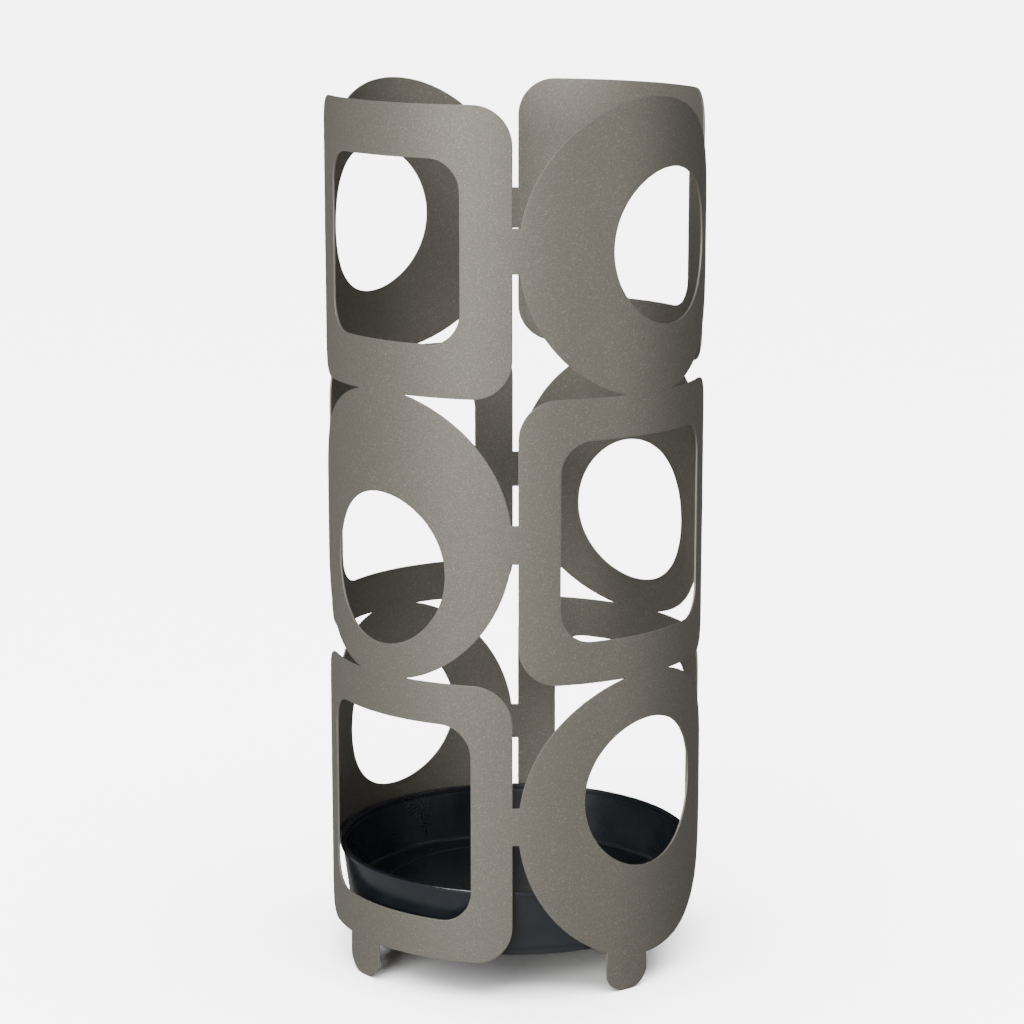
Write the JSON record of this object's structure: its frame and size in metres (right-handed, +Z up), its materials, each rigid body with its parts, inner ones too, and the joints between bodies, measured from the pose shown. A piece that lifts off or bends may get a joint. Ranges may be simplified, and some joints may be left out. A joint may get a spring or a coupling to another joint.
{
  "type": "umbrella stand",
  "caption": "Round umbrella stand of rolled sheet steel, cut into a chequer of framed squares and pierced discs, with short tongue feet and a lift-out drip tray.",
  "frame": {"origin": "on the floor, on the axis of the round shell, midway between the four feet", "axes": "+Z up along the axis; the front panel faces -Y and the right panel faces +X, so the narrow front slit faces half way between them"},
  "size_m": [0.22, 0.22, 0.5125],
  "materials": {
    "coated_steel": "warm grey metallic powder coat with a fine grain",
    "tray_plastic": "very dark blue-black moulded plastic, glossy"
  },
  "bodies": {
    "stand": {"front_panel": "coated_steel", "right_panel": "coated_steel", "rear_panel": "coated_steel", "left_panel": "coated_steel", "front_right_seam_welds": "coated_steel", "rear_right_seam_welds": "coated_steel", "rear_left_seam_welds": "coated_steel", "front_left_seam_welds": "coated_steel", "long_support_bar": "coated_steel", "rear_support_bar": "coated_steel", "front_support_bar": "coated_steel", "bar_end_welds": "coated_steel", "bar_centre_welds": "coated_steel"},
    "tray": {"drip_tray": "tray_plastic"}
  },
  "joints": [
    {"name": "tray_lift", "type": "slide", "parent": "stand", "child": "tray", "axis": [0, 0, 1], "range_m": [0, 0.49]}
  ]
}
